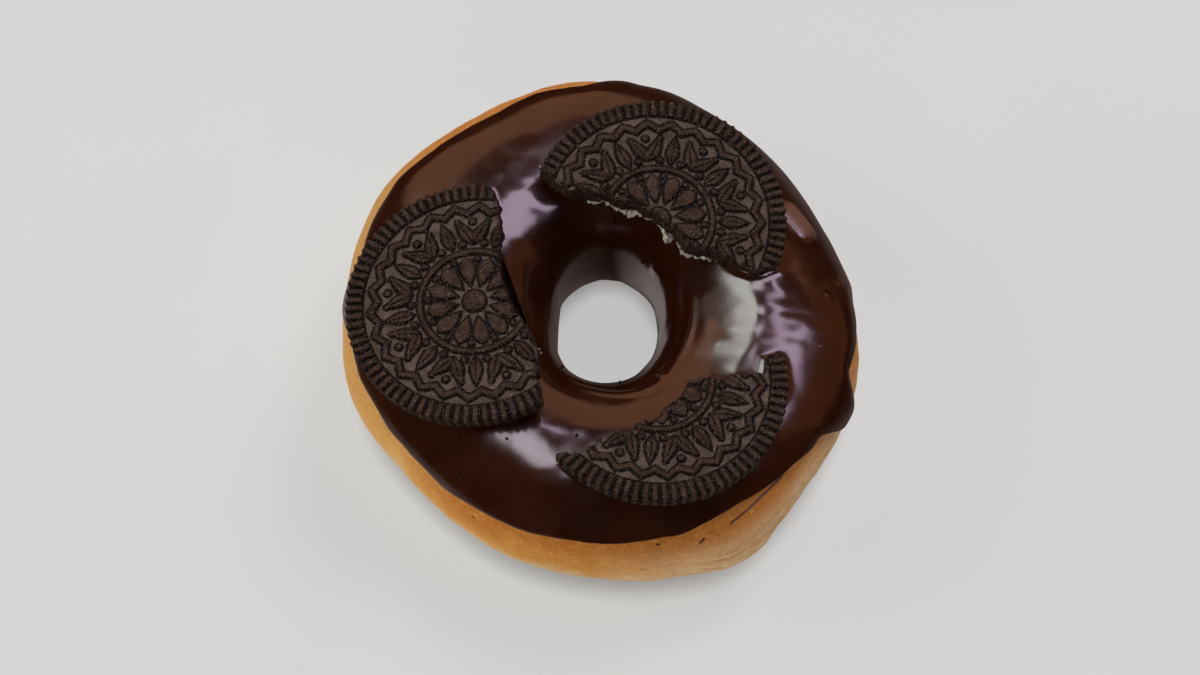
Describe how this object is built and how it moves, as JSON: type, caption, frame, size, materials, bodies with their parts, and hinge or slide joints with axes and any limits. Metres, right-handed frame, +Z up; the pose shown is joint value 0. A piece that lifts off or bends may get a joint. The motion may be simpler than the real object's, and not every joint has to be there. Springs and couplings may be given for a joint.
{
  "type": "cookies and cream doughnut",
  "caption": "Ring doughnut with dark chocolate icing over its top and broken chocolate cookie pieces lying on it, one with cream filling under it.",
  "frame": {"origin": "on the surface the doughnut lies on, at the middle of its footprint box", "axes": "+Z up out of the iced top, +X to the right and +Y to the back as the picture shows it"},
  "size_m": [0.0909, 0.0931, 0.0394],
  "materials": {
    "dough": "fried yeast dough, golden tan with fine pores and faint wrinkles, soft low sheen",
    "icing": "dark chocolate icing, glossy and smooth with soft ripples",
    "wafer": "dry dark cocoa biscuit, matt, dusty in the hollows of its pressed pattern, crumbly where broken",
    "cream": "white cream filling, matt and soft with ragged edges"
  },
  "bodies": {
    "root": {"dough": "dough", "icing": "icing", "wafer_left": "wafer", "wafer_upper": "wafer", "wafer_lower": "wafer", "cream_upper": "cream"}
  },
  "joints": []
}
